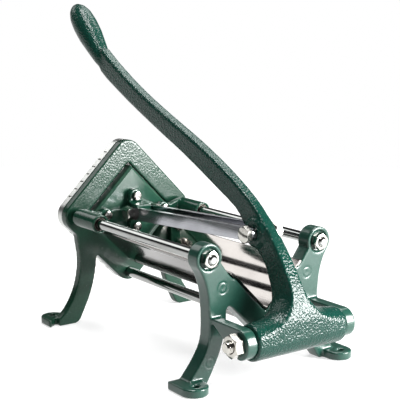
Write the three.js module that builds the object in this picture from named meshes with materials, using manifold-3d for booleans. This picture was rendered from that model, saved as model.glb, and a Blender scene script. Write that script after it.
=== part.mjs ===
// French-fry cutter: two cast-iron end frames on three tie rods, a stainless trough, a grid of
// blades in the head, and a pusher carriage driven along the guide rods by a cast lever and link.
// Millimetres. +Z up, +Y from the cutting head to the lever pivot, +X to the pivot nut's side.
// The origin is on the bench, below the middle of the whole machine.
import * as THREE from 'three';
import { mergeVertices } from 'three/addons/utils/BufferGeometryUtils.js';
import Module from 'manifold-3d';

const wasm = await Module();
wasm.setup();

// ---------- driving dimensions ----------
const GAP = 0.3; // clearance between touching pieces

const ROD_X = 58.3; // half the spacing of the two guide rods
const AXIS_Z = 105.4; // height of the cutting axis and the guide rods
const ROD_D = 9.5;
const ROD_END_D = 8; // turned-down ends, M8
const TIE_ROD_Z = 42.9;
const NUT_FLATS = 13;
const NUT_H = 6.5;

const HEAD_REAR_Y = -107.5;
const HEAD_T = 9.5;
const HEAD_FRONT_Y = HEAD_REAR_Y - HEAD_T;
const DIAMOND = 76.7; // half diagonal of the square head, which stands on one corner
const CORNER_R = 15;
const OPENING = 49; // half diagonal of the square opening

const BLADE_FRAME_T = 8;
const BLADE_FRAME_Y = HEAD_FRONT_Y - GAP - BLADE_FRAME_T; // its front face
const BLADE_PITCH = 9.525; // three-eighths of an inch
const BLADES_EACH_WAY = 7;
const FRAME_OPENING = 46.6; // half diagonal of the blade frame's opening, just clear of the pusher
const BLADE_T = 0.8;
const BLADE_W = 5;
const FRAME_SCREW_D = 6;
const FRAME_SCREW_Z = AXIS_Z + 62;

const REAR_FRONT_Y = 92.8; // front face of the rear casting
const REAR_T = 14;
const REAR_Y = REAR_FRONT_Y + REAR_T;
const EAR_R = 12.5;
const EAR_RECESS = 3; // counterbore for the guide rod's nut
const EAR_RECESS_D = 19;
const NOTCH_Z = 53.4; // apex of the notch that carries the trough

const FOOT_T = 7;
const FOOT_X = 78; // middle of each foot pad, and of its hole
const FOOT_HALF = 12; // half the pad's width, and the radius of its end
const FOOT_HOLE_D = 6.5;
const HEAD_HOLE_Y = -126;
const REAR_HOLE_Y = 115.5;

const TROUGH_Z = 54; // outer apex of the trough
const TROUGH_T = 1.2;
const TROUGH_FRONT_Y = -102;
const TROUGH_REAR_Y = 107.4;
const TROUGH_TOP_X = 37.5;

const PIVOT_Y = 142.3; // lever pivot
const PIVOT_Z = 43.8;
const PIVOT_D = 10;
const PIVOT_FLATS = 17;
const LUG_R = 12.5;
const LUG_IN_X = 47;
const LUG_OUT_X = 57;
const BARREL_R = 14.2;
const BARREL_Z = PIVOT_Z - 1.5; // the barrel is thicker below its bore

const LINK_REAR = new THREE.Vector2(98, 118.5); // link pins at rest, as y and z
const LINK_FRONT = new THREE.Vector2(-84.5, 107.5);
const LINK_T = 4.2;
const LINK_R = 6; // half the height of a link bar
const LINK_IN_X = 8.4; // inner face of each link bar
const LINK_PIN_D = 8;
const LUG_HALF = LINK_IN_X - 0.4;

const SPIDER_FRONT_Y = -101.3; // the carriage's middle, front and rear faces
const SPIDER_REAR_Y = -94.3;
const SLIDE_R = 8.75; // barrels of the carriage, round the guide rods
const SLIDE_FRONT_Y = -102;
const SLIDE_REAR_Y = -62.5;
const BUSHING_D = 13;
const PUSHER = 45.2; // half diagonal of the square pusher block
const PUSHER_PLATE_T = 11;
const PUSHER_FRONT_Y = -127; // tips of the pusher's fingers
const PUSHER_SCREW_D = 5;
const SCREW_TOP_Z = AXIS_Z + 16.8;
const SCREW_LOW_Z = AXIS_Z - 13.6;
const SCREW_OUT_X = 33;
const SCREW_OUT_Z = AXIS_Z + 1;

const LEVER_T = 10.6; // thickness of the lever's arm
const KNOB_TIP_Y = -211.1;
const MID_Y = (KNOB_TIP_Y + PIVOT_Y + BARREL_R) / 2; // middle of the whole length

// ---------- materials ----------
const paint = (color, roughness) => new THREE.MeshStandardMaterial({ color, roughness, metalness: 0.1 });
const metal = (color, roughness) => new THREE.MeshStandardMaterial({ color, roughness, metalness: 1 });
const green = paint(0x2b4a41, 0.3);
const steel = metal(0xc9ccce, 0.18);
const stainless = metal(0xd0ccc8, 0.08);
const zinc = metal(0xb9b9b4, 0.3);
const aluminium = metal(0xd8dbd6, 0.35);
const bronze = metal(0x4a4640, 0.5);

// ---------- making and joining solids ----------
function solid(geometry) {
  const bare = geometry.clone();
  bare.deleteAttribute('normal');
  bare.deleteAttribute('uv');
  const merged = mergeVertices(bare, 1e-4);
  const mesh = new wasm.Mesh({
    numProp: 3,
    vertProperties: new Float32Array(merged.attributes.position.array),
    triVerts: new Uint32Array(merged.index.array),
  });
  return new wasm.Manifold(mesh);
}

const join = (...pieces) => pieces.reduce((all, piece) => all.add(piece));
const cut = (body, ...tools) => tools.reduce((rest, tool) => rest.subtract(tool), body);
const bothSides = (body) => join(body, body.mirror([1, 0, 0]));
const points = (list) => list.map(([a, b]) => new THREE.Vector2(a, b));
const hexAcross = (flats) => flats / Math.cos(Math.PI / 6);

function toGeometry(body) {
  const mesh = body.getMesh();
  const geometry = new THREE.BufferGeometry();
  geometry.setAttribute('position', new THREE.BufferAttribute(mesh.vertProperties, 3));
  geometry.setIndex(new THREE.BufferAttribute(mesh.triVerts, 1));
  return geometry;
}

const cutter = new THREE.Group();
cutter.position.y = -MID_Y;

function piece(name, body, material) {
  const mesh = new THREE.Mesh(toGeometry(body), material);
  mesh.name = name;
  cutter.add(mesh);
}

// A round or six-sided bar along Y, between y0 and y1.
function barY(diameter, x, z, y0, y1, sides = 20) {
  const bar = new THREE.CylinderGeometry(diameter / 2, diameter / 2, y1 - y0, sides);
  return solid(bar.translate(x, (y0 + y1) / 2, z));
}

// A round or six-sided bar along X, between x0 and x1.
function barX(diameter, y, z, x0, x1, sides = 16) {
  const bar = new THREE.CylinderGeometry(diameter / 2, diameter / 2, x1 - x0, sides);
  return solid(bar.rotateZ(Math.PI / 2).translate((x0 + x1) / 2, y, z));
}

// A round hole through a foot.
function footHole(x, y) {
  const hole = new THREE.CylinderGeometry(FOOT_HOLE_D / 2, FOOT_HOLE_D / 2, FOOT_T + 2, 16);
  return solid(hole.rotateX(Math.PI / 2).translate(x, y, FOOT_T / 2));
}

// An outline drawn in x and z, made a plate between y0 and y1.
function plateY(outline, y0, y1, curveSegments = 6) {
  const plate = new THREE.ExtrudeGeometry(outline, { depth: y1 - y0, bevelEnabled: false, curveSegments });
  return solid(plate.rotateX(Math.PI / 2).translate(0, y1, 0));
}

// An outline drawn in y and z, made a plate between x0 and x1.
function plateX(outline, x0, x1, curveSegments = 6) {
  const plate = new THREE.ExtrudeGeometry(outline, { depth: x1 - x0, bevelEnabled: false, curveSegments });
  const axes = new THREE.Matrix4().makeBasis(
    new THREE.Vector3(0, 1, 0),
    new THREE.Vector3(0, 0, 1),
    new THREE.Vector3(1, 0, 0),
  );
  return solid(plate.applyMatrix4(axes).translate(x0, 0, 0));
}

// An outline drawn in x and y, made a plate between z0 and z1.
function plateZ(outline, z0, z1, curveSegments = 6) {
  const plate = new THREE.ExtrudeGeometry(outline, { depth: z1 - z0, bevelEnabled: false, curveSegments });
  return solid(plate.translate(0, 0, z0));
}

// A square with rounded corners, standing on one corner, centred on the cutting axis.
function diamond(half, radius, y0, y1) {
  const edge = half / Math.SQRT2;
  const mid = edge - radius;
  const square = new THREE.Shape();
  square.moveTo(-mid, -edge);
  square.absarc(mid, -mid, radius, -Math.PI / 2, 0);
  square.absarc(mid, mid, radius, 0, Math.PI / 2);
  square.absarc(-mid, mid, radius, Math.PI / 2, Math.PI);
  square.absarc(-mid, -mid, radius, Math.PI, Math.PI * 1.5);
  const plate = new THREE.ExtrudeGeometry(square, { depth: y1 - y0, bevelEnabled: false, curveSegments: 6 });
  return solid(plate.rotateX(Math.PI / 2).rotateY(Math.PI / 4).translate(0, y1, AXIS_Z));
}

// A box in the head's own square directions: u and v run along the sides of the diamond.
function diamondBlock(u0, u1, v0, v1, y0, y1) {
  const box = new THREE.BoxGeometry(u1 - u0, y1 - y0, v1 - v0);
  box.translate((u0 + u1) / 2, (y0 + y1) / 2, (v0 + v1) / 2);
  return solid(box.rotateY(Math.PI / 4).translate(0, 0, AXIS_Z));
}

// ---------- end castings ----------
// A foot pad on the bench: square at the casting's flush face and round at the free end.
function footPad(flushY, holeY) {
  const outward = Math.sign(holeY - flushY);
  const endY = holeY - outward * 2.5;
  const pad = new THREE.Shape();
  pad.moveTo(FOOT_X - FOOT_HALF, flushY);
  if (outward > 0) pad.lineTo(FOOT_X + FOOT_HALF, flushY);
  pad.absarc(FOOT_X, endY, FOOT_HALF, outward > 0 ? 0 : Math.PI, outward > 0 ? Math.PI : Math.PI * 2);
  if (outward < 0) pad.lineTo(FOOT_X + FOOT_HALF, flushY);
  return plateZ(pad, 0, FOOT_T, 8);
}

function rodHoles(y0, y1) {
  return [[ROD_X, AXIS_Z], [-ROD_X, AXIS_Z], [0, TIE_ROD_Z]]
    .map(([x, z]) => barY(ROD_END_D + 2 * GAP, x, z, y0, y1, 16));
}

function headLeg() {
  const leg = new THREE.Shape();
  leg.moveTo(60, 97);
  leg.splineThru(points([[57.3, 78], [55.4, 64], [56.2, 50], [59.4, 36], [64.8, 24], [71.5, 14], [80, 6]]));
  leg.lineTo(80, 0);
  leg.lineTo(61, 0);
  leg.quadraticCurveTo(56.6, 1, 54.6, 7);
  leg.splineThru(points([[49.5, 17], [45.5, 26], [41.6, 38], [39, 50], [37.2, 64]]));
  leg.lineTo(40, 76);
  return plateY(leg, HEAD_FRONT_Y, HEAD_REAR_Y, 3);
}

function headFrame() {
  const side = join(headLeg(), footPad(HEAD_REAR_Y, HEAD_HOLE_Y));
  const drilled = cut(side, footHole(FOOT_X, HEAD_HOLE_Y));
  return cut(
    join(diamond(DIAMOND, CORNER_R, HEAD_FRONT_Y, HEAD_REAR_Y), bothSides(drilled)),
    diamond(OPENING, 2, HEAD_FRONT_Y - 1, HEAD_REAR_Y + 1),
    ...rodHoles(HEAD_FRONT_Y - 1, HEAD_REAR_Y + 1),
    barY(FRAME_SCREW_D + 2 * GAP, 0, FRAME_SCREW_Z, HEAD_FRONT_Y - 1, HEAD_FRONT_Y + 7, 16),
  );
}
piece('head_frame', headFrame(), green);

// One half of the rear casting: notch, leg and half of the web under the trough.
function rearHalf() {
  const half = new THREE.Shape();
  half.moveTo(0, NOTCH_Z);
  half.lineTo(32.8, NOTCH_Z + 32.8);
  half.lineTo(34.6, NOTCH_Z + 32.7);
  half.lineTo(39.2, NOTCH_Z + 37.3);
  half.lineTo(46.6, AXIS_Z - 4.6);
  half.lineTo(58, AXIS_Z);
  half.lineTo(69.6, AXIS_Z - 4.8);
  half.splineThru(points([[63.4, 89.3], [59.6, 76], [58.2, 60], [58, 45], [60, 33], [67.5, 20], [79, 6]]));
  half.lineTo(79, 0);
  half.lineTo(62, 0);
  half.splineThru(points([[58.5, 5], [53.5, 14], [48, 25], [43.5, 38], [41, 52], [41, 60]]));
  half.quadraticCurveTo(40, 66, 35, 61.5);
  half.lineTo(8, 34.5);
  half.quadraticCurveTo(4, 31, 0, 31);
  return plateY(half, REAR_FRONT_Y, REAR_Y, 3);
}

function pivotLug() {
  const rootY = REAR_Y - 4;
  const lug = new THREE.Shape();
  lug.moveTo(rootY, PIVOT_Z - LUG_R - 2);
  lug.absarc(PIVOT_Y, PIVOT_Z, LUG_R, -Math.PI / 2, Math.PI / 2);
  lug.lineTo(rootY, PIVOT_Z + LUG_R);
  return plateX(lug, LUG_IN_X, LUG_OUT_X, 12);
}

function rearFrame() {
  const side = join(
    rearHalf(),
    barY(EAR_R * 2, ROD_X, AXIS_Z, REAR_FRONT_Y, REAR_Y, 28),
    pivotLug(),
    footPad(REAR_FRONT_Y, REAR_HOLE_Y),
  );
  const drilled = cut(
    side,
    footHole(FOOT_X, REAR_HOLE_Y),
    barY(EAR_RECESS_D, ROD_X, AXIS_Z, REAR_Y - EAR_RECESS, REAR_Y + 1, 24),
    barX(PIVOT_D + 2 * GAP, PIVOT_Y, PIVOT_Z, LUG_IN_X - 1, LUG_OUT_X + 1),
  );
  return cut(bothSides(drilled), ...rodHoles(REAR_FRONT_Y - 1, REAR_Y + 1));
}
piece('rear_frame', rearFrame(), green);

// ---------- rods and their nuts ----------
function rod(x, z, rearSeatY) {
  return join(
    barY(ROD_D, x, z, HEAD_REAR_Y + GAP, REAR_FRONT_Y - GAP),
    barY(ROD_END_D, x, z, BLADE_FRAME_Y - NUT_H - 2, HEAD_REAR_Y + 2, 16),
    barY(ROD_END_D, x, z, REAR_FRONT_Y - 2, rearSeatY + NUT_H + 2, 16),
  );
}

function nutY(x, z, y0) {
  return cut(
    barY(hexAcross(NUT_FLATS), x, z, y0, y0 + NUT_H, 6),
    barY(ROD_END_D + 2 * GAP, x, z, y0 - 1, y0 + NUT_H + 1, 16),
  );
}

const earSeatY = REAR_Y - EAR_RECESS + GAP;
const rods = [
  ['guide_rod_left', ROD_X, AXIS_Z, earSeatY],
  ['guide_rod_right', -ROD_X, AXIS_Z, earSeatY],
  ['tie_rod', 0, TIE_ROD_Z, REAR_Y + GAP],
];
for (const [name, x, z, seatY] of rods) {
  piece(name, rod(x, z, seatY), steel);
  piece(`${name}_rear_nut`, nutY(x, z, seatY), zinc);
  piece(`${name}_front_nut`, nutY(x, z, BLADE_FRAME_Y - GAP - NUT_H), zinc);
}

// ---------- trough ----------
// Bent sheet: two walls at 45 degrees with a narrow hem folded along each upper edge.
function trough() {
  const topZ = TROUGH_Z + TROUGH_TOP_X;
  const hem = 4;
  const sheet = new THREE.Shape();
  sheet.moveTo(0, TROUGH_Z);
  sheet.lineTo(TROUGH_TOP_X - hem, topZ - hem);
  sheet.lineTo(TROUGH_TOP_X - hem + 1.4, topZ - hem - 0.2);
  sheet.lineTo(TROUGH_TOP_X + 0.6, topZ - 1);
  sheet.lineTo(TROUGH_TOP_X - 0.4, topZ + 0.6);
  sheet.lineTo(0, TROUGH_Z + TROUGH_T * Math.SQRT2);
  return bothSides(plateY(sheet, TROUGH_FRONT_Y, TROUGH_REAR_Y));
}
piece('trough', trough(), stainless);

// ---------- blades ----------
const BLADE_Y0 = BLADE_FRAME_Y + (BLADE_FRAME_T - BLADE_W) / 2;
const BLADE_Y1 = BLADE_Y0 + BLADE_W;
const HEAD_HALF = DIAMOND / Math.SQRT2; // half the side of the head's square
const bladeOffsets = Array.from(
  { length: BLADES_EACH_WAY },
  (_, i) => (i - (BLADES_EACH_WAY - 1) / 2) * BLADE_PITCH,
);

// Straight cuts through the whole field at every blade's place, both ways.
function bladeCuts(reach, halfWidth, y0, y1) {
  return bladeOffsets.flatMap((at) => [
    diamondBlock(-reach, reach, at - halfWidth, at + halfWidth, y0, y1),
    diamondBlock(at - halfWidth, at + halfWidth, -reach, reach, y0, y1),
  ]);
}

function bladeFrame() {
  const y1 = BLADE_FRAME_Y + BLADE_FRAME_T;
  return cut(
    diamond(DIAMOND - 0.4, CORNER_R, BLADE_FRAME_Y, y1),
    diamond(FRAME_OPENING, 2, BLADE_FRAME_Y - 1, y1 + 1),
    ...bladeCuts(HEAD_HALF + 1, BLADE_T / 2 + GAP, BLADE_Y0 - GAP, BLADE_Y1 + GAP),
    ...rodHoles(BLADE_FRAME_Y - 1, y1 + 1),
    barY(FRAME_SCREW_D + 2 * GAP, 0, FRAME_SCREW_Z, BLADE_FRAME_Y - 1, y1 + 1, 16),
  );
}
piece('blade_frame', bladeFrame(), aluminium);

// Each blade is a straight strip, half-slotted where it crosses the seven that run the other way.
function blade(at, rising) {
  const half = HEAD_HALF - 1.5;
  const t = BLADE_T / 2;
  const notch = t + GAP;
  const middle = (BLADE_Y0 + BLADE_Y1) / 2;
  const [y0, y1] = rising ? [middle - GAP, BLADE_Y1 + 1] : [BLADE_Y0 - 1, middle + GAP];
  const along = (u0, u1, v0, v1, from, to) => (rising
    ? diamondBlock(u0, u1, v0, v1, from, to)
    : diamondBlock(v0, v1, u0, u1, from, to));
  return cut(
    along(-half, half, at - t, at + t, BLADE_Y0, BLADE_Y1),
    ...bladeOffsets.map((cross) => along(cross - notch, cross + notch, at - 1, at + 1, y0, y1)),
  );
}
bladeOffsets.forEach((at, i) => {
  piece(`blade_rising_${i + 1}`, blade(at, true), steel);
  piece(`blade_falling_${i + 1}`, blade(at, false), steel);
});

// Screw that holds the top corner of the blade frame.
const frameScrewSeat = BLADE_FRAME_Y - GAP;
piece('blade_frame_screw', join(
  barY(11, 0, FRAME_SCREW_Z, frameScrewSeat - 4, frameScrewSeat),
  barY(FRAME_SCREW_D, 0, FRAME_SCREW_Z, frameScrewSeat - 1, frameScrewSeat + 14, 16),
), zinc);

// ---------- carriage ----------
const pusherScrews = [
  ['pusher_screw_top', 0, SCREW_TOP_Z],
  ['pusher_screw_bottom', 0, SCREW_LOW_Z],
  ['pusher_screw_left', SCREW_OUT_X, SCREW_OUT_Z],
  ['pusher_screw_right', -SCREW_OUT_X, SCREW_OUT_Z],
];

// Half of the cross arm: it rises from the middle to the top of the guide rod's barrel, with a
// round boss at the side screw.
function crossArm() {
  const arm = new THREE.Shape();
  arm.moveTo(0, AXIS_Z - 7);
  arm.lineTo(ROD_X - 2, AXIS_Z - 8);
  arm.lineTo(ROD_X - 2, AXIS_Z + 8.4);
  arm.quadraticCurveTo(48, AXIS_Z + 7.5, 42, AXIS_Z + 4.4);
  arm.lineTo(14, AXIS_Z + 4.8);
  arm.lineTo(0, AXIS_Z + 8);
  return join(
    plateY(arm, SPIDER_FRONT_Y, SPIDER_REAR_Y, 4),
    barY(13, SCREW_OUT_X, SCREW_OUT_Z, SPIDER_FRONT_Y, SPIDER_REAR_Y, 16),
  );
}

function carriage() {
  const post = new THREE.Shape();
  post.absarc(0, SCREW_LOW_Z, 6.5, Math.PI, Math.PI * 2);
  post.absarc(0, SCREW_TOP_Z, 6.5, 0, Math.PI);
  const lug = new THREE.Shape();
  lug.moveTo(SPIDER_REAR_Y - 2, LINK_FRONT.y - 11);
  lug.absarc(LINK_FRONT.x, LINK_FRONT.y, 8, -Math.PI / 2, Math.PI / 2);
  lug.lineTo(SPIDER_REAR_Y - 2, LINK_FRONT.y + 10);
  const slideEnd = (x) => barY(SLIDE_R * 2, x, AXIS_Z, SLIDE_FRONT_Y, SLIDE_REAR_Y, 24);
  const bore = (x) => barY(BUSHING_D + 2 * GAP, x, AXIS_Z, SLIDE_FRONT_Y - 1, SLIDE_REAR_Y + 1, 24);
  return cut(
    join(
      bothSides(crossArm()),
      plateY(post, SPIDER_FRONT_Y, SPIDER_REAR_Y, 8),
      plateX(lug, -LUG_HALF, LUG_HALF, 8),
      slideEnd(ROD_X),
      slideEnd(-ROD_X),
    ),
    bore(ROD_X),
    bore(-ROD_X),
    barX(LINK_PIN_D + 2 * GAP, LINK_FRONT.x, LINK_FRONT.y, -LUG_HALF - 1, LUG_HALF + 1),
    ...pusherScrews.map(([, x, z]) => (
      barY(PUSHER_SCREW_D + 2 * GAP, x, z, SPIDER_FRONT_Y - 1, SPIDER_REAR_Y + 1, 12))),
  );
}
piece('carriage', carriage(), green);

// Thin bushing in each barrel of the carriage.
function bushing(x) {
  return cut(
    barY(BUSHING_D, x, AXIS_Z, SLIDE_FRONT_Y + 0.5, SLIDE_REAR_Y - 1.5, 24),
    barY(ROD_D + 2 * GAP, x, AXIS_Z, SLIDE_FRONT_Y - 1, SLIDE_REAR_Y + 1, 24),
  );
}
piece('slide_bushing_left', bushing(ROD_X), bronze);
piece('slide_bushing_right', bushing(-ROD_X), bronze);

// Pusher block: a plate with an 8 by 8 field of fingers that pass between the blades.
function pusherBlock() {
  const half = PUSHER / Math.SQRT2;
  const rearY = SPIDER_FRONT_Y - GAP;
  return cut(
    diamondBlock(-half, half, -half, half, PUSHER_FRONT_Y, rearY),
    ...bladeCuts(half + 1, BLADE_T / 2 + 0.45, PUSHER_FRONT_Y - 1, rearY - PUSHER_PLATE_T),
    ...pusherScrews.map(([, x, z]) => barY(PUSHER_SCREW_D + 2 * GAP, x, z, rearY - 6.4, rearY + 1, 12)),
  );
}
piece('pusher_block', pusherBlock(), green);

for (const [name, x, z] of pusherScrews) {
  const seatY = SPIDER_REAR_Y + GAP;
  piece(name, join(
    barY(8.5, x, z, seatY, seatY + 3.2, 16),
    barY(PUSHER_SCREW_D, x, z, SPIDER_FRONT_Y - 6, seatY + 1, 12),
  ), zinc);
}

// ---------- link ----------
const BOLT_HEAD_H = 5.5;
const headSeatX = LINK_IN_X + LINK_T + GAP;
const nutSeatX = -headSeatX - NUT_H;
const boltTipX = nutSeatX - 2.5;

function linkBar() {
  const up = Math.atan2(LINK_REAR.y - LINK_FRONT.y, LINK_REAR.x - LINK_FRONT.x) + Math.PI / 2;
  const bar = new THREE.Shape();
  bar.absarc(LINK_REAR.x, LINK_REAR.y, LINK_R, up, up - Math.PI, true);
  bar.absarc(LINK_FRONT.x, LINK_FRONT.y, LINK_R, up - Math.PI, up - 2 * Math.PI, true);
  const hole = (pin) => barX(LINK_PIN_D + 2 * GAP, pin.x, pin.y, LINK_IN_X - 1, LINK_IN_X + LINK_T + 1);
  return cut(plateX(bar, LINK_IN_X, LINK_IN_X + LINK_T, 10), hole(LINK_REAR), hole(LINK_FRONT));
}
piece('link_bar_left', linkBar(), stainless);
piece('link_bar_right', linkBar().mirror([1, 0, 0]), stainless);

function boltHead(pin, x0, flats, height) {
  return barX(hexAcross(flats), pin.x, pin.y, x0, x0 + height, 6);
}

function nutX(pin, x0, flats, height, bore) {
  return cut(
    barX(hexAcross(flats), pin.x, pin.y, x0, x0 + height, 6),
    barX(bore + 2 * GAP, pin.x, pin.y, x0 - 1, x0 + height + 1),
  );
}

// Rear pin: one bolt through both bars and the boss of the lever.
piece('link_rear_bolt', join(
  boltHead(LINK_REAR, headSeatX, NUT_FLATS, BOLT_HEAD_H),
  barX(LINK_PIN_D, LINK_REAR.x, LINK_REAR.y, boltTipX, headSeatX + 1),
), zinc);
piece('link_rear_nut', nutX(LINK_REAR, nutSeatX, NUT_FLATS, NUT_H, LINK_PIN_D), zinc);

// Front pin: in three lengths that part just inside the two bars.
const stubEndX = LINK_IN_X + 0.1;
piece('link_front_bolt_head', join(
  boltHead(LINK_FRONT, headSeatX, NUT_FLATS, BOLT_HEAD_H),
  barX(LINK_PIN_D, LINK_FRONT.x, LINK_FRONT.y, stubEndX, headSeatX + 1),
), zinc);
piece('link_front_bolt_tip', barX(LINK_PIN_D, LINK_FRONT.x, LINK_FRONT.y, boltTipX, -stubEndX), zinc);
piece('link_front_nut', nutX(LINK_FRONT, nutSeatX, NUT_FLATS, NUT_H, LINK_PIN_D), zinc);
piece('link_front_pin_core', barX(LINK_PIN_D, LINK_FRONT.x, LINK_FRONT.y, -LUG_HALF, LUG_HALF), zinc);

// ---------- lever ----------
// Upper and lower edges of the arm, as y and z, from the hub to the neck of the knob.
const hubUpper = [[155, 60], [148.5, 77], [139.5, 92], [129.5, 106], [118.5, 118.5]];
const hubLower = [[98, 106.5], [109.5, 96.5], [118, 82], [123.5, 68], [127.5, 55]];
const armUpper = [
  [107, 130], [90, 144.5], [64, 160.5], [35.5, 175], [5.7, 188.5], [-25.6, 201.3], [-58.5, 215],
  [-93, 231], [-129, 250.5], [-150, 264],
];
const armLower = [
  [-158, 252], [-150, 239.5], [-114, 220.5], [-78, 203.7], [-43.7, 188.7], [-11.2, 175], [19.6, 160.5],
  [49, 146], [71, 134.5], [84, 121],
];

function leverArm() {
  const arm = new THREE.Shape();
  arm.moveTo(...hubUpper[1]);
  arm.splineThru(points([...hubUpper.slice(2), ...armUpper]));
  arm.lineTo(...armLower[0]);
  arm.splineThru(points([...armLower.slice(1), ...hubLower.slice(0, 4)]));
  return plateX(arm, -LEVER_T / 2, LEVER_T / 2, 2);
}

// Thumb-shaped knob, turned about the line from its neck to its tip.
function knob() {
  const neck = new THREE.Vector2(-145.5, 244.2);
  const tip = new THREE.Vector2(-209.2, 306.1);
  const profile = points([
    [0, 0], [5, 2], [8.5, 13], [10.3, 27], [12.4, 45], [12.8, 60], [11.8, 72.5], [9.2, 81], [4.9, 86.9], [0, 89],
  ]);
  const turned = new THREE.LatheGeometry(profile, 20);
  const lean = Math.atan2(tip.y - neck.y, tip.x - neck.x);
  return solid(turned.rotateX(lean).translate(0, neck.x, neck.y));
}

// Where the arm spreads sideways into the long barrel: the arm's side view, kept inside a body
// turned about the pivot that narrows from the barrel's length to the arm's thickness.
function hubSpread() {
  const side = new THREE.Shape();
  side.moveTo(PIVOT_Y + BARREL_R - 0.3, BARREL_Z);
  side.splineThru(points(hubUpper));
  side.lineTo(...hubLower[0]);
  side.splineThru(points([...hubLower.slice(1), [PIVOT_Y - BARREL_R + 0.3, BARREL_Z]]));
  const end = LUG_IN_X - 0.8;
  const narrowing = points([
    [14.3, end], [15, 40], [17, 27], [20, 19], [23.5, 14.5], [28, 10.2], [33, 8], [42, 6.8], [60, 6.4], [84, 5.6],
  ]);
  const widening = narrowing.map((point) => new THREE.Vector2(point.x, -point.y)).reverse();
  const profile = [new THREE.Vector2(0, end), ...narrowing, ...widening, new THREE.Vector2(0, -end)];
  const turned = new THREE.LatheGeometry(profile.reverse(), 40);
  turned.rotateZ(-Math.PI / 2).translate(0, PIVOT_Y, PIVOT_Z);
  return plateX(side, -end, end, 2).intersect(solid(turned));
}

function lever() {
  const end = LUG_IN_X - 0.4;
  return cut(
    join(
      leverArm(),
      knob(),
      barX(24, LINK_REAR.x, LINK_REAR.y, -LUG_HALF, LUG_HALF, 28),
      hubSpread(),
      barX(BARREL_R * 2, PIVOT_Y, BARREL_Z, -end, end, 28),
    ),
    barX(PIVOT_D + 2 * GAP, PIVOT_Y, PIVOT_Z, -end - 1, end + 1),
    barX(LINK_PIN_D + 2 * GAP, LINK_REAR.x, LINK_REAR.y, -LUG_HALF - 1, LUG_HALF + 1),
  );
}
piece('lever', lever(), green);

// ---------- pivot bolt ----------
const PIVOT_NUT_H = 8;
const PIVOT_TIP_X = 70;
const pivot = new THREE.Vector2(PIVOT_Y, PIVOT_Z);
const pivotSeatX = LUG_OUT_X + GAP;
piece('pivot_bolt', join(
  barX(21, PIVOT_Y, PIVOT_Z, -pivotSeatX - 2.3, -pivotSeatX, 24),
  barX(PIVOT_D, PIVOT_Y, PIVOT_Z, -pivotSeatX - 1, PIVOT_TIP_X),
), zinc);
piece('pivot_nut', nutX(pivot, pivotSeatX, PIVOT_FLATS, PIVOT_NUT_H, PIVOT_D), zinc);

export default cutter;
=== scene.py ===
import math

import bmesh
import bpy
import numpy as np
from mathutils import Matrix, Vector


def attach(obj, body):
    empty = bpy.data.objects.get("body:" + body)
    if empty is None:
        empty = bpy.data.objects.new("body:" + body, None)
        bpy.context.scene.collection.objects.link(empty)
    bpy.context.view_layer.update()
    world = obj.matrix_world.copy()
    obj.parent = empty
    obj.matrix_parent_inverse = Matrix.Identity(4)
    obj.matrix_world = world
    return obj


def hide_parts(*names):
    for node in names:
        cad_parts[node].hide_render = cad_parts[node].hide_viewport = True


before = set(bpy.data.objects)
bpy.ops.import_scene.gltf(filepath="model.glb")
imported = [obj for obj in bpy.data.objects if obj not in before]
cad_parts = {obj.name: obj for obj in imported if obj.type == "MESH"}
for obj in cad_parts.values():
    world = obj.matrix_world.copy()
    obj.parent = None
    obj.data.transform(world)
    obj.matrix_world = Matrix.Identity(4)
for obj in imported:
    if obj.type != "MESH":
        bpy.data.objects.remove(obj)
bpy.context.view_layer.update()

MM = 0.001
ROOT2 = math.sqrt(2)

# ---------- dimensions shared with the CAD, in millimetres ----------
# Places are in the castings' own drawing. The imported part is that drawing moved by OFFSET_Y along Y.
OFFSET_Y = 27.3
ROD_X, AXIS_Z, TIE_ROD_Z = 58.3, 105.4, 42.9
ROD_R, BUSHING_R, BUSHING_BORE_R = 4.75, 6.5, 5.05
HEAD_REAR_Y, BLADE_FRAME_Y = -107.5, -125.3
REAR_FRONT_Y, REAR_Y = 92.8, 106.8
EAR_SEAT_Y = 104.1
BARREL_FRONT_Y, BARREL_REAR_Y = -101.5, -64
PUSHER_REAR_Y, PUSHER_HALF_DIAGONAL = -101.6, 45.2
PIVOT = (142.3, 43.8)
PIVOT_SEAT_X = 57.3
LINK_REAR, LINK_FRONT = (98.0, 118.5), (-84.5, 107.5)
LINK_SEAT_X = 12.9
PIN_CORE_X, PIN_PARTED_X = 8, 8.5
NUT_H, NUT_FLATS, NUT_BORE = 6.5, 13.0, 8.3
PIVOT_NUT_H, PIVOT_NUT_FLATS, PIVOT_NUT_BORE = 8, 17, 10.3
M5_R, M5_PITCH = 2.5, 0.8
M8_R, M8_PITCH = 4.0, 1.25
M10_R, M10_PITCH = 5.0, 1.5
PAST_NUT = 2  # how far a rod's end stands out of its nut
BLADES_EACH_WAY = 7
SEGMENTS = 48  # round a turned piece


# ---------- mesh helpers ----------
def shade(mesh, angle):
    """Smooth shading, with edges sharper than the angle in degrees left crisp."""
    mesh.polygons.foreach_set("use_smooth", [True] * len(mesh.polygons))
    mesh.set_sharp_from_angle(angle=math.radians(angle))
    mesh.update()


def place(name, mesh, body, material, nodes, angle=35):
    """Put a mesh in the scene as one piece that rides a body and stands in for these CAD nodes. A low
    shading angle keeps the big flat faces of a bevelled piece flat."""
    shade(mesh, angle)
    obj = bpy.data.objects.new(name, mesh)
    bpy.context.scene.collection.objects.link(obj)
    obj.data.materials.clear()
    obj.data.materials.append(material)
    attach(obj, body)
    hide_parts(*nodes)


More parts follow.
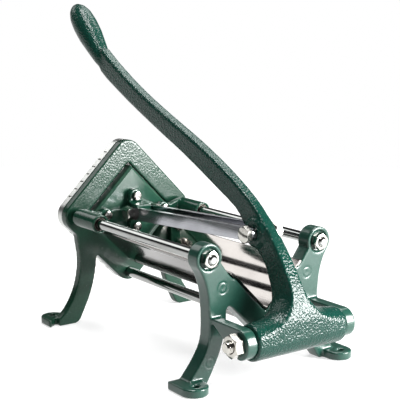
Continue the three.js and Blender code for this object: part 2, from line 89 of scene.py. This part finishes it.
def evaluated(mesh, *modifiers):
    """The mesh after these modifiers, as a new mesh."""
    obj = bpy.data.objects.new("making", mesh)
    bpy.context.scene.collection.objects.link(obj)
    for kind, settings in modifiers:
        modifier = obj.modifiers.new(kind, kind)
        for key, value in settings.items():
            setattr(modifier, key, value)
    graph = bpy.context.evaluated_depsgraph_get()
    made = bpy.data.meshes.new_from_object(obj.evaluated_get(graph))
    bpy.data.objects.remove(obj)
    return made


def cad_mesh(node):
    """A copy of a CAD node's mesh, without its materials."""
    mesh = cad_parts[node].data.copy()
    mesh.materials.clear()
    return mesh


def bevelled(mesh, width, segments, angle=35):
    """The mesh with its flat faces joined up and every edge sharper than the angle rounded over."""
    b = bmesh.new()
    b.from_mesh(mesh)
    bmesh.ops.remove_doubles(b, verts=b.verts, dist=1e-6)
    bmesh.ops.dissolve_limit(b, angle_limit=math.radians(1), verts=b.verts, edges=b.edges)
    b.to_mesh(mesh)
    b.free()
    return evaluated(mesh, ("BEVEL", {
        "width": width * MM, "segments": segments, "limit_method": "ANGLE",
        "angle_limit": math.radians(angle), "use_clamp_overlap": True,
    }))


def cast(mesh, voxel, rounds):
    """A cast skin: the solid remeshed in small cells and smoothed, so that every edge is rounded."""
    return evaluated(
        mesh,
        ("REMESH", {"mode": "VOXEL", "voxel_size": voxel * MM}),
        ("SMOOTH", {"factor": 0.5, "iterations": rounds}),
    )


def vertices(mesh):
    """The mesh's points in the drawing's millimetres, one row each."""
    co = np.empty(len(mesh.vertices) * 3)
    mesh.vertices.foreach_get("co", co)
    return co.reshape(-1, 3) / MM - np.array([0, OFFSET_Y, 0])


def set_vertices(mesh, co):
    """Move the mesh's points to rows like those that vertices gives."""
    mesh.vertices.foreach_set("co", ((co + np.array([0, OFFSET_Y, 0])) * MM).ravel())
    mesh.update()


def from_rings(rings, axis, centre, turn=0.0):
    """Turned mesh. Each ring is (radius, along), numbers or one value for each segment. A radius of
    0 at the first or last ring closes it; otherwise the last ring joins the first, as in a tube."""
    angle = np.arange(SEGMENTS) * 2 * math.pi / SEGMENTS
    b = bmesh.new()
    loops = []
    for radius, along in rings:
        tip = np.isscalar(radius) and radius == 0
        r = np.broadcast_to(np.asarray(radius, float), SEGMENTS)
        a = np.broadcast_to(np.asarray(along, float), SEGMENTS)
        loop = []
        for i in range(1 if tip else SEGMENTS):
            p, q = r[i] * math.cos(angle[i] + turn), r[i] * math.sin(angle[i] + turn)
            if axis == "x":
                x, y, z = a[i], centre[0] + p, centre[1] + q
            else:
                x, y, z = centre[0] + q, a[i], centre[1] + p
            loop.append(b.verts.new((x * MM, (y + OFFSET_Y) * MM, z * MM)))
        loops.append(loop)
    closed = len(loops[0]) > 1 and len(loops[-1]) > 1
    after = loops[1:] + loops[:1] if closed else loops[1:]
    for low, high in zip(loops, after):
        for i in range(SEGMENTS):
            j = (i + 1) % SEGMENTS
            corners = [low[i % len(low)], low[j % len(low)], high[j % len(high)], high[i % len(high)]]
            b.faces.new(list(dict.fromkeys(corners)))
    bmesh.ops.recalc_face_normals(b, faces=b.faces)
    mesh = bpy.data.meshes.new("turned")
    b.to_mesh(mesh)
    b.free()
    return mesh


def thread(radius, pitch, start, end):
    """Rings of a screw thread between two places along the bar."""
    depth = 0.32 * pitch
    rings_per_turn = 4
    step = pitch / rings_per_turn * (1 if end > start else -1)
    share = np.arange(SEGMENTS) / SEGMENTS

    def ring(at):
        return (radius - depth * np.abs((at / pitch + share) % 1 * 2 - 1), at)

    return [ring(at) for at in np.arange(start, end, step)]


def hexagon(flats):
    """A hexagon's radius at each segment, and how far its chamfer has dropped there."""
    angle = np.arange(SEGMENTS) * 2 * math.pi / SEGMENTS
    within = (angle + math.pi / 6) % (math.pi / 3) - math.pi / 6
    corner = flats / 2 / np.cos(within)
    chamfer_start, slope = flats / 2 * 0.97, 0.58
    return corner, (corner - chamfer_start).clip(0) * slope


def hex_nut(axis, centre, seat, height, flats, bore, turn=0.0):
    """Hexagon nut with both faces chamfered; seat is the face it stands on, height may be negative."""
    s = 1 if height > 0 else -1
    corner, drop = hexagon(flats)
    top = seat + height
    rings = [
        (bore / 2 + 0.5, seat), (flats / 2 * 0.95, seat), (corner, seat + s * drop),
        (corner, top - s * drop), (flats / 2 * 0.95, top), (bore / 2 + 0.6, top),
        (bore / 2, top - s * 0.6), (bore / 2, seat + s * 0.5),
    ]
    return from_rings(rings, axis, centre, turn)


def hex_head(axis, centre, seat, height, flats, turn=0.0):
    """Hexagon bolt head with a washer face and chamfered corners."""
    s = 1 if height > 0 else -1
    corner, drop = hexagon(flats)
    top = seat + height
    rings = [
        (0, seat), (flats / 2 * 0.92, seat), (flats / 2 * 0.92, seat + s * 0.4), (corner, seat + s * 0.5),
        (corner, top - s * drop), (flats / 2 * 0.93, top), (0, top),
    ]
    return from_rings(rings, axis, centre, turn)


def merged(*meshes):
    """These meshes as one mesh, each still a closed shape of its own."""
    b = bmesh.new()
    for mesh in meshes:
        b.from_mesh(mesh)
    mesh = bpy.data.meshes.new("merged")
    b.to_mesh(mesh)
    b.free()
    return mesh


# ---------- materials ----------
class Paint:
    """A material's node tree, with short calls for its nodes."""

    def __init__(self, name):
        self.material = bpy.data.materials.new(name)
        self.material.use_nodes = True
        self.tree = self.material.node_tree
        self.tree.nodes.clear()
        self.shader = self.tree.nodes.new("ShaderNodeBsdfPrincipled")
        output = self.tree.nodes.new("ShaderNodeOutputMaterial")
        self.link(self.shader.outputs[0], output.inputs[0])
        self.coords = self.tree.nodes.new("ShaderNodeTexCoord").outputs["Object"]

    def link(self, source, target):
        self.tree.links.new(source, target)

    def node(self, kind, properties=None, **inputs):
        made = self.tree.nodes.new(kind)
        for key, value in (properties or {}).items():
            setattr(made, key, value)
        for key, value in inputs.items():
            socket = made.inputs[key.replace("_", " ")]
            if isinstance(value, bpy.types.NodeSocket):
                self.link(value, socket)
            else:
                socket.default_value = value
        return made

    def stretched(self, scale):
        return self.node("ShaderNodeMapping", Vector=self.coords, Scale=scale).outputs[0]

    def noise(self, scale, detail=2.0, vector=None, roughness=0.5):
        return self.node("ShaderNodeTexNoise", Vector=vector or self.coords, Scale=scale, Detail=detail,
                         Roughness=roughness).outputs["Fac"]

    def cells(self, scale):
        return self.node("ShaderNodeTexVoronoi", {"feature": "SMOOTH_F1"}, Vector=self.coords, Scale=scale,
                         Smoothness=0.6).outputs["Distance"]

    def ramp(self, fac, low, high, a=0.0, b=1.0):
        return self.node("ShaderNodeMapRange", {"clamp": True}, Value=fac, From_Min=low, From_Max=high,
                         To_Min=a, To_Max=b).outputs[0]

    def math(self, operation, a, b):
        made = self.tree.nodes.new("ShaderNodeMath")
        made.operation = operation
        for socket, value in zip(made.inputs, (a, b)):
            if isinstance(value, bpy.types.NodeSocket):
                self.link(value, socket)
            else:
                socket.default_value = value
        return made.outputs[0]

    def mix(self, fac, a, b):
        made = self.tree.nodes.new("ShaderNodeMix")
        made.data_type = "RGBA"
        self.link(fac, made.inputs["Factor"])
        for socket, value in ((made.inputs[6], a), (made.inputs[7], b)):
            if isinstance(value, bpy.types.NodeSocket):
                self.link(value, socket)
            else:
                socket.default_value = (*value, 1)
        return made.outputs[2]

    def bump(self, height, strength, distance, normal=None):
        made = self.node("ShaderNodeBump", Height=height, Strength=strength, Distance=distance * MM)
        if normal is not None:
            self.link(normal, made.inputs["Normal"])
        return made.outputs[0]

    def edges(self):
        """1 on the mesh's outward edges, 0 on its faces and hollows."""
        point = self.tree.nodes.new("ShaderNodeNewGeometry").outputs["Pointiness"]
        return self.ramp(point, 0.52, 0.62)

    def facing_down(self):
        """1 where the surface looks down, 0 where it is upright or looks up."""
        normal = self.tree.nodes.new("ShaderNodeNewGeometry").outputs["Normal"]
        z = self.node("ShaderNodeSeparateXYZ", Vector=normal).outputs["Z"]
        return self.ramp(z, -0.1, -0.4)

    def height_above(self, low, high):
        """0 below one height in millimetres, 1 above the other."""
        z = self.node("ShaderNodeSeparateXYZ", Vector=self.coords).outputs["Z"]
        return self.ramp(z, low * MM, high * MM)


def enamel(name, hammer, tone, smooth_below=None, coat=0.0, wave=0.25, gloss=0.3, rough=(0.1, 0.2),
           cell_scale=430):
    """Dark green enamel over cast metal. hammer is the depth of its small hammered cells and wave that
    of its slow swells; smooth_below fades the hammering out below that height; tone scales its greens."""
    def green(*color):
        return tuple(v * t for v, t in zip(color, tone))

    p = Paint(name)
    cell = p.cells(cell_scale)
    fine = p.noise(1500, 3)
    flow = p.noise(14, 3)
    height = p.math("ADD", p.ramp(cell, 0.1, 0.75), p.math("MULTIPLY", fine, 0.4))
    if smooth_below is not None:
        keep = p.height_above(smooth_below, smooth_below + 40)
        height = p.math("MULTIPLY", height, p.ramp(keep, 0, 1, 0.15, 1.0))
    # two greens in slow clouds, a lighter one towards the cells' borders, the palest along outward edges,
    # partly wear of the thin enamel and partly a painted highlight
    base = p.mix(flow, green(0.005, 0.036, 0.026), green(0.009, 0.060, 0.043))
    base = p.mix(p.ramp(cell, 0.35, 0.8, 0, 0.3), base, green(0.015, 0.075, 0.055))
    edge_wear_and_highlight = p.math("MULTIPLY", p.edges(), p.ramp(p.noise(160, 4), 0.4, 0.7, 0.1, 0.45))
    base = p.mix(edge_wear_and_highlight, base, green(0.06, 0.13, 0.105))
    p.link(base, p.shader.inputs["Base Color"])
    p.link(p.ramp(p.noise(60, 4), 0.3, 0.7, *rough), p.shader.inputs["Roughness"])
    p.shader.inputs["Specular IOR Level"].default_value = gloss
    p.shader.inputs["Coat Weight"].default_value = coat
    p.shader.inputs["Coat Roughness"].default_value = 0.3
    waves = p.bump(flow, wave, 2.0)
    p.link(p.bump(height, hammer, 0.45, waves), p.shader.inputs["Normal"])
    return p.material


def bright_metal(name, tone, tint, rough, streak_scale, streak, grain, under=1.0):
    """Bare metal of one tone with patches of a duller tint, drawn or ground streaks in its roughness and
    fine scratches in its surface. under darkens the faces that look down: painted shade."""
    p = Paint(name)
    streaks = p.noise(1.0, 4, p.stretched(streak_scale), 0.6)
    patches = p.noise(35, 4)
    scratches = p.noise(1.0, 2, p.stretched(tuple(v * 3.1 for v in streak_scale)))
    color = p.mix(p.ramp(patches, 0.45, 0.75, 0, 0.7), tone, tint)
    # painted shade: faces that look down take a darker copy of the tone
    if under < 1.0:
        color = p.mix(p.facing_down(), color, tuple(v * under for v in tone))
    p.link(color, p.shader.inputs["Base Color"])
    p.shader.inputs["Metallic"].default_value = 1.0
    low, high = rough
    blend = p.math("ADD", p.math("MULTIPLY", streaks, streak), p.math("MULTIPLY", patches, 1 - streak))
    p.link(p.ramp(blend, 0.35, 0.7, low, high), p.shader.inputs["Roughness"])
    p.link(p.bump(scratches, grain, 0.05), p.shader.inputs["Normal"])
    return p.material


HAMMERED = enamel("enamel_hammered", 0.6, (0.5, 0.6, 0.6), gloss=0.28, rough=(0.12, 0.22), cell_scale=560)
HEAD_ENAMEL = enamel("enamel_head", 0.25, (0.72, 0.6, 0.48), smooth_below=105, rough=(0.18, 0.3),
                     cell_scale=520)
SMOOTH_ENAMEL = enamel("enamel_smooth", 0.08, (0.95, 0.85, 0.82), coat=0.7, gloss=0.2)
PUSHER_ENAMEL = enamel("enamel_pusher", 0.1, (0.9, 0.75, 0.64), coat=0.4, wave=0.02)
CARRIAGE_ENAMEL = enamel("enamel_carriage", 0.12, (0.8, 0.72, 0.6), wave=0.12)

# drawn bar and sheet have their streaks along Y, the blades across it; plated and cast metal has none
ROD_STEEL = bright_metal("rod_steel", (0.36, 0.37, 0.36), (0.27, 0.27, 0.26), rough=(0.05, 0.14),
                         streak_scale=(500, 12, 500), streak=0.4, grain=0.15)
# the sheet's faces that look down are darkened as painted shade
SHEET = bright_metal("trough_sheet", (0.37, 0.35, 0.332), (0.31, 0.29, 0.275), rough=(0.04, 0.14),
                     streak_scale=(700, 9, 700), streak=0.6, grain=0.08, under=0.36)
BAR_STEEL = bright_metal("bar_steel", (0.39, 0.40, 0.425), (0.31, 0.31, 0.33), rough=(0.1, 0.22),
                         streak_scale=(900, 14, 900), streak=0.6, grain=0.2)
ZINC = bright_metal("zinc_plate", (0.52, 0.51, 0.475), (0.40, 0.38, 0.34), rough=(0.1, 0.22),
                    streak_scale=(260, 260, 260), streak=0.3, grain=0.12)
# a darker copy of the zinc plate, used on the pusher's bolts
DARKER_ZINC = bright_metal("darker_zinc", (0.27, 0.265, 0.25), (0.18, 0.17, 0.155), rough=(0.12, 0.24),
                         streak_scale=(260, 260, 260), streak=0.3, grain=0.12)
ALUMINIUM = bright_metal("cast_aluminium", (0.56, 0.57, 0.55), (0.45, 0.45, 0.44), rough=(0.28, 0.42),
                         streak_scale=(420, 420, 420), streak=0.5, grain=0.8)
BLADE_STEEL = bright_metal("blade_steel", (0.8, 0.8, 0.8), (0.62, 0.60, 0.57), rough=(0.1, 0.24),
                           streak_scale=(30, 900, 30), streak=0.7, grain=0.3)
DARK_BRONZE = bright_metal("bushing_bronze", (0.09, 0.085, 0.075), (0.04, 0.04, 0.035), rough=(0.3, 0.5),
                           streak_scale=(300, 40, 300), streak=0.5, grain=0.4)


# ---------- castings ----------
ALL_SMOOTH = 180  # shading angle of a cast skin, which has no crisp edge


def ejector_mark(mesh, x, z, radius):
    """A pair of round marks left by the mould's ejector pins on the rear casting's flat rear face: a
    groove round a shallower dimple."""
    depth, groove_width, face_skin = 0.4, 0.6, 1.6
    dimple_r, dimple_depth = radius * 0.42, depth * 0.45
    co = vertices(mesh)
    on_face = np.abs(co[:, 1] - REAR_Y) < face_skin
    for side in (-1, 1):
        away = np.hypot(co[:, 0] - side * x, co[:, 2] - z)
        groove = np.exp(-((away - radius) / groove_width) ** 2) * depth
        dimple = np.exp(-(away / dimple_r) ** 4) * dimple_depth
        co[:, 1] -= (groove + dimple) * on_face
    set_vertices(mesh, co)


place("head_casting", cast(cad_mesh("head_frame"), 1.1, 5), "frame", HEAD_ENAMEL,
      ["head_frame"], ALL_SMOOTH)

rear = cast(cad_mesh("rear_frame"), 0.8, 7)
ejector_mark(rear, 45, 80, 4.6)
ejector_mark(rear, 57.8, 19.5, 4.2)
place("rear_casting", rear, "frame", SMOOTH_ENAMEL, ["rear_frame"], ALL_SMOOTH)

place("carriage_casting", cast(cad_mesh("carriage"), 0.7, 6), "carriage", CARRIAGE_ENAMEL,
      ["carriage"], ALL_SMOOTH)
place("lever_casting", cast(cad_mesh("lever"), 1.1, 18), "lever", HAMMERED, ["lever"],
      ALL_SMOOTH)


# ---------- rods and their nuts ----------
def rod(name, x, z, seat_y):
    """Round bar between the castings, turned down and threaded at both ends, with a nut on each."""
    front = BLADE_FRAME_Y - NUT_H - PAST_NUT
    back = seat_y + NUT_H + PAST_NUT
    shoulder_r = 4.35
    rings = [(0, front), (2.6, front), (3.4, front + 0.7)]
    rings += thread(M8_R, M8_PITCH, front + 0.8, HEAD_REAR_Y - 4)
    rings += [
        (M8_R, HEAD_REAR_Y - 3), (M8_R, HEAD_REAR_Y + 0.3), (shoulder_r, HEAD_REAR_Y + 0.3),
        (ROD_R, HEAD_REAR_Y + 0.8), (ROD_R, 0), (ROD_R, REAR_FRONT_Y - 0.8),
        (shoulder_r, REAR_FRONT_Y - 0.3), (M8_R, REAR_FRONT_Y - 0.3), (M8_R, seat_y - 2),
    ]
    rings += thread(M8_R, M8_PITCH, seat_y - 1.5, back - 0.8)
    rings += [(3.4, back - 0.6), (2.7, back), (0, back)]
    place(name + "_bar", from_rings(rings, "y", (x, z)), "frame", ROD_STEEL, [name])
    front_seat = BLADE_FRAME_Y - 0.3
    for end, seat, height, turn in (("rear", seat_y, NUT_H, 0.3), ("front", front_seat, -NUT_H, 0.12)):
        nut = hex_nut("y", (x, z), seat, height, NUT_FLATS, NUT_BORE, turn)
        node = name + "_" + end + "_nut"
        place(node + "_hex", nut, "frame", ZINC, [node])


rod("guide_rod_left", ROD_X, AXIS_Z, EAR_SEAT_Y)
rod("guide_rod_right", -ROD_X, AXIS_Z, EAR_SEAT_Y)
rod("tie_rod", 0, TIE_ROD_Z, REAR_Y + 0.3)


# ---------- bushings and screws of the carriage ----------
def bushing(name, x):
    """Thin tube on a guide rod, chamfered at both ends outside and flared at the rear inside."""
    rings = [
        (BUSHING_BORE_R, BARREL_FRONT_Y), (BUSHING_R - 0.3, BARREL_FRONT_Y),
        (BUSHING_R, BARREL_FRONT_Y + 0.4), (BUSHING_R, BARREL_REAR_Y - 0.4),
        (BUSHING_R - 0.3, BARREL_REAR_Y), (5.6, BARREL_REAR_Y), (BUSHING_BORE_R, BARREL_REAR_Y - 0.6),
    ]
    place(name + "_tube", from_rings(rings, "y", (x, AXIS_Z)), "carriage", DARK_BRONZE, [name])


bushing("slide_bushing_left", ROD_X)
bushing("slide_bushing_right", -ROD_X)


def pusher_bolt(name, x, above_axis):
    """Small hexagon bolt from the carriage into the block's plate."""
    seat, tip = -94.0, -107.3
    centre = (x, AXIS_Z + above_axis)
    rings = [(0, tip), (2.1, tip), (M5_R, tip + 0.4)] + thread(M5_R, M5_PITCH, tip + 0.7, -101)
    shank = from_rings(rings + [(M5_R, seat), (0, seat)], "y", centre)
    bolt = merged(hex_head("y", centre, seat, 3.4, 8, 0.4), shank)
    place("pusher_bolt_" + name, bolt, "carriage", DARKER_ZINC, ["pusher_screw_" + name])


pusher_bolt("top", 0, 16.8)
pusher_bolt("bottom", 0, -13.6)
pusher_bolt("left", 33, 1)
pusher_bolt("right", -33, 1)


# ---------- pins of the link and the pivot ----------
def pin_rings(x0, x1, threaded_from=None):
    """A pin between two places along X, threaded from one place to its far end."""
    s = 1 if x1 > x0 else -1
    rings = [(0, x0), (3.7, x0), (M8_R, x0 + s * 0.3)]
    if threaded_from is None:
        return rings + [(M8_R, x1 - s * 0.3), (3.7, x1), (0, x1)]
    rings += [(M8_R, threaded_from)] + thread(M8_R, M8_PITCH, threaded_from + s * 0.4, x1 - s * 0.7)
    return rings + [(3.4, x1 - s * 0.4), (2.8, x1), (0, x1)]


def link_piece(name, mesh, body, node):
    """One zinc-plated piece of the link's two pins."""
    place(name, mesh, body, ZINC, [node])


def link_head(centre, turn):
    height = 5.5
    return hex_head("x", centre, LINK_SEAT_X, height, NUT_FLATS, turn)


def link_nut(centre, turn):
    return hex_nut("x", centre, -LINK_SEAT_X, -NUT_H, NUT_FLATS, NUT_BORE, turn)


link_tip_x = -LINK_SEAT_X - NUT_H - 2.5
rear_shank = from_rings(pin_rings(LINK_SEAT_X, link_tip_x, 3 - LINK_SEAT_X), "x", LINK_REAR)
link_piece("link_rear_hex_bolt", merged(link_head(LINK_REAR, 0.0), rear_shank), "link", "link_rear_bolt")
link_piece("link_rear_hex_nut", link_nut(LINK_REAR, 0.1), "link", "link_rear_nut")

# the front pin is parted at the bars: its core stays in the carriage, the rest rides with the link
front_shank = from_rings(pin_rings(PIN_PARTED_X, LINK_SEAT_X), "x", LINK_FRONT)
link_piece("link_front_hex_head", merged(link_head(LINK_FRONT, 0.2), front_shank), "link",
           "link_front_bolt_head")
front_tip = from_rings(pin_rings(-PIN_PARTED_X, link_tip_x, 1 - LINK_SEAT_X), "x", LINK_FRONT)
link_piece("link_front_threaded_tip", front_tip, "link", "link_front_bolt_tip")
link_piece("link_front_hex_nut", link_nut(LINK_FRONT, 0.5), "link", "link_front_nut")
front_core = from_rings(pin_rings(-PIN_CORE_X, PIN_CORE_X), "x", LINK_FRONT)
link_piece("link_front_core", front_core, "carriage", "link_front_pin_core")


def pivot_pin():
    """Bolt through both lugs and the lever's barrel, with a low round head."""
    tip = 70
    head = [(0, -59.6), (6.5, -59.6), (9.2, -59.2), (10.4, -58.4), (10.5, -57.6), (10.2, -PIVOT_SEAT_X)]
    shank = [(M10_R, -PIVOT_SEAT_X), (M10_R, 55)] + thread(M10_R, M10_PITCH, 56, tip - 1)
    return from_rings(head + shank + [(4.3, tip - 0.6), (3.6, tip), (0, tip)], "x", PIVOT)


place("pivot_pin", pivot_pin(), "frame", ZINC, ["pivot_bolt"])
pivot_nut = hex_nut("x", PIVOT, PIVOT_SEAT_X, PIVOT_NUT_H, PIVOT_NUT_FLATS, PIVOT_NUT_BORE, 0.15)
place("pivot_hex_nut", pivot_nut, "frame", ZINC, ["pivot_nut"])

# ---------- link bars ----------
for side in ("left", "right"):
    node = "link_bar_" + side
    bar = bevelled(cad_mesh(node), 0.9, 3)
    place("link_flat_bar_" + side, bar, "link", BAR_STEEL, [node], angle=15)


# ---------- trough ----------
def trough():
    """Bent sheet with a tight bend at the bottom and a hem folded outwards along each upper edge."""
    thick, wall, hem_end = 1.2, 51.9, 47.6
    outer_z = 54.0  # where the two outer faces would meet
    fold_r, fold_steps = 1.165, 8
    fold_off = fold_r - thick
    front_y, rear_y, lengths = -102.0, 107.4, 24

    def at(along, off):
        """A place so far up the right wall and so far out from its outer face."""
        return ((along + off) / ROOT2, outer_z + (along - off) / ROOT2)

    right = [at(3.2, -thick), at(wall, -thick)]
    for step in range(1, fold_steps):
        a = math.pi * step / fold_steps
        right.append(at(wall + fold_r * math.sin(a), fold_off - fold_r * math.cos(a)))
    hem_off = fold_off + fold_r
    right += [at(wall, hem_off), at(hem_end + 0.3, hem_off), at(hem_end, 0.9), at(hem_end, 0.0)]
    right.append(at(2.4, 0.0))
    under = [(0.9, outer_z + 0.97), (0.0, outer_z + 0.75)]
    inner = [(0.0, outer_z + 0.75 + thick * 1.15), (0.9, outer_z + 2.35)]
    half = inner + right + under
    outline = half + [(-x, z) for x, z in reversed(half[1:-1])]

    b = bmesh.new()
    sections = []
    for i in range(lengths + 1):
        y = front_y + (rear_y - front_y) * i / lengths
        sections.append([b.verts.new((x * MM, (y + OFFSET_Y) * MM, z * MM)) for x, z in outline])
    for near, far in zip(sections, sections[1:]):
        for i in range(len(outline)):
            j = (i + 1) % len(outline)
            b.faces.new([near[i], near[j], far[j], far[i]])
    b.faces.new(sections[0])
    b.faces.new(sections[-1])
    bmesh.ops.recalc_face_normals(b, faces=b.faces)
    mesh = bpy.data.meshes.new("trough")
    b.to_mesh(mesh)
    b.free()
    return mesh


place("trough_sheet", trough(), "frame", SHEET, ["trough"], angle=50)

# ---------- blades and their frame ----------
frame_cast = bevelled(cad_mesh("blade_frame"), 0.35, 2, 40)
place("blade_frame_cast", frame_cast, "frame", ALUMINIUM, ["blade_frame"], angle=12)
for way in ("rising", "falling"):
    for i in range(1, BLADES_EACH_WAY + 1):
        node = f"blade_{way}_{i}"
        strip = bevelled(cad_mesh(node), 0.12, 1)
        place(f"blade_strip_{way}_{i}", strip, "frame", BLADE_STEEL, [node])


def frame_screw():
    """Hexagon screw through the blade frame's top corner into the head."""
    seat, tip, radius = -125.6, -111.6, 3
    centre = (0, AXIS_Z + 62)
    head = hex_head("y", centre, seat, -4, 10, 0.2)
    rings = [(0, seat), (radius, seat), (radius, tip - 1.4), (2.6, tip - 0.2), (0, tip)]
    return merged(head, from_rings(rings, "y", centre))


place("blade_frame_hex_screw", frame_screw(), "frame", ZINC, ["blade_frame_screw"])


# ---------- pusher ----------
def pusher():
    """The fingered block with its edges broken and a wide chamfer round its rear face."""
    mesh = bevelled(cad_mesh("pusher_block"), 0.5, 2, 40)
    b = bmesh.new()
    b.from_mesh(mesh)
    chamfer = 2.0
    half_side = PUSHER_HALF_DIAGONAL / ROOT2
    cut_y = (PUSHER_REAR_Y - chamfer + OFFSET_Y) * MM
    geometry = list(b.verts) + list(b.edges) + list(b.faces)
    bmesh.ops.bisect_plane(b, geom=geometry, plane_co=(0, cut_y, 0), plane_no=(0, 1, 0))
    for v in b.verts:
        back = (v.co.y - cut_y) / MM
        if back > 0.01:
            x, z = v.co.x / MM, v.co.z / MM - AXIS_Z
            limit = half_side - min(back, chamfer)
            u = max(-limit, min(limit, (x + z) / ROOT2))
            w = max(-limit, min(limit, (x - z) / ROOT2))
            v.co.x = (u + w) / ROOT2 * MM
            v.co.z = ((u - w) / ROOT2 + AXIS_Z) * MM
    b.to_mesh(mesh)
    b.free()
    return mesh


place("pusher_fingers", pusher(), "carriage", PUSHER_ENAMEL, ["pusher_block"], angle=12)


# ---------- floor, light and camera ----------
def from_centre(azimuth, elevation):
    """Unit vector towards a place round the part, in degrees: 0 is the head's side, 90 is +X."""
    a, e = math.radians(azimuth), math.radians(elevation)
    return Vector((math.sin(a) * math.cos(e), -math.cos(a) * math.cos(e), math.sin(e)))


def studio_floor():
    """White disc just under the feet. Most of its white is light of its own, so that it sends little of
    the softboxes' light back up."""
    under_feet = (0, 0, -0.5 * MM)
    bpy.ops.mesh.primitive_circle_add(vertices=96, radius=1.15, fill_type="NGON", location=under_feet)
    disc = bpy.context.object
    disc.name = "studio_floor"
    p = Paint("studio_floor")
    p.link(p.mix(p.noise(3, 2), (0.43, 0.43, 0.43), (0.46, 0.46, 0.46)), p.shader.inputs["Base Color"])
    p.shader.inputs["Roughness"].default_value = 0.8
    p.shader.inputs["Emission Color"].default_value = (1, 1, 1, 1)
    p.shader.inputs["Emission Strength"].default_value = 0.62
    disc.data.materials.append(p.material)


def studio_walls():
    """World that is white up to just above the horizon and nearly black overhead."""
    world = bpy.data.worlds.new("studio")
    bpy.context.scene.world = world
    world.use_nodes = True
    tree = world.node_tree
    tree.nodes.clear()
    out = tree.nodes.new("ShaderNodeOutputWorld")
    back = tree.nodes.new("ShaderNodeBackground")
    coords = tree.nodes.new("ShaderNodeTexCoord")
    split = tree.nodes.new("ShaderNodeSeparateXYZ")
    ramp = tree.nodes.new("ShaderNodeValToRGB")
    for stop, position, grey in zip(ramp.color_ramp.elements, (0.045, 0.11), (1, 0.05)):
        stop.position = position
        stop.color = (grey, grey, grey, 1)
    tree.links.new(coords.outputs["Generated"], split.inputs[0])
    tree.links.new(split.outputs["Z"], ramp.inputs[0])
    tree.links.new(ramp.outputs[0], back.inputs[0])
    back.inputs[1].default_value = 1.0
    tree.links.new(back.outputs[0], out.inputs[0])


def softbox(name, azimuth, elevation, distance, size, power):
    """Rectangular light that faces the part. Distance and size are in metres, power in watts."""
    light = bpy.data.lights.new(name, "AREA")
    light.shape = "RECTANGLE"
    light.size, light.size_y = size
    light.energy = power
    obj = bpy.data.objects.new(name, light)
    away = from_centre(azimuth, elevation)
    obj.location = away * distance + Vector((0, 0, 0.12))
    obj.rotation_euler = away.to_track_quat("Z", "Y").to_euler()
    bpy.context.scene.collection.objects.link(obj)


def camera():
    """The photograph's own view, from one fit of the castings and rods."""
    data = bpy.data.cameras.new("view")
    data.lens, data.sensor_width = 90.83, 36
    obj = bpy.data.objects.new("view", data)
    target, distance, roll = Vector((-9.3, 27.3, 130.6)) * MM, 0.9187, 0.17
    away = from_centre(144.07, 10.13)
    obj.location = target + away * distance
    obj.rotation_euler = (-away).to_track_quat("-Z", "Y").to_euler()
    obj.rotation_euler.rotate_axis("Z", math.radians(roll))
    bpy.context.scene.collection.objects.link(obj)
    bpy.context.scene.camera = obj


studio_floor()
studio_walls()
softbox("rear", 213, 19, 1.3, (0.62, 0.52), 44)
softbox("low", 215, 2.5, 1.3, (0.4, 0.16), 18)
softbox("front", 12, 35, 1.4, (0.7, 0.5), 2.6)
softbox("back", 305, 50, 1.4, (0.7, 0.5), 6)
softbox("top", 60, 86, 1.4, (0.9, 0.35), 22)
camera()
bpy.context.scene.view_settings.view_transform = "Standard"
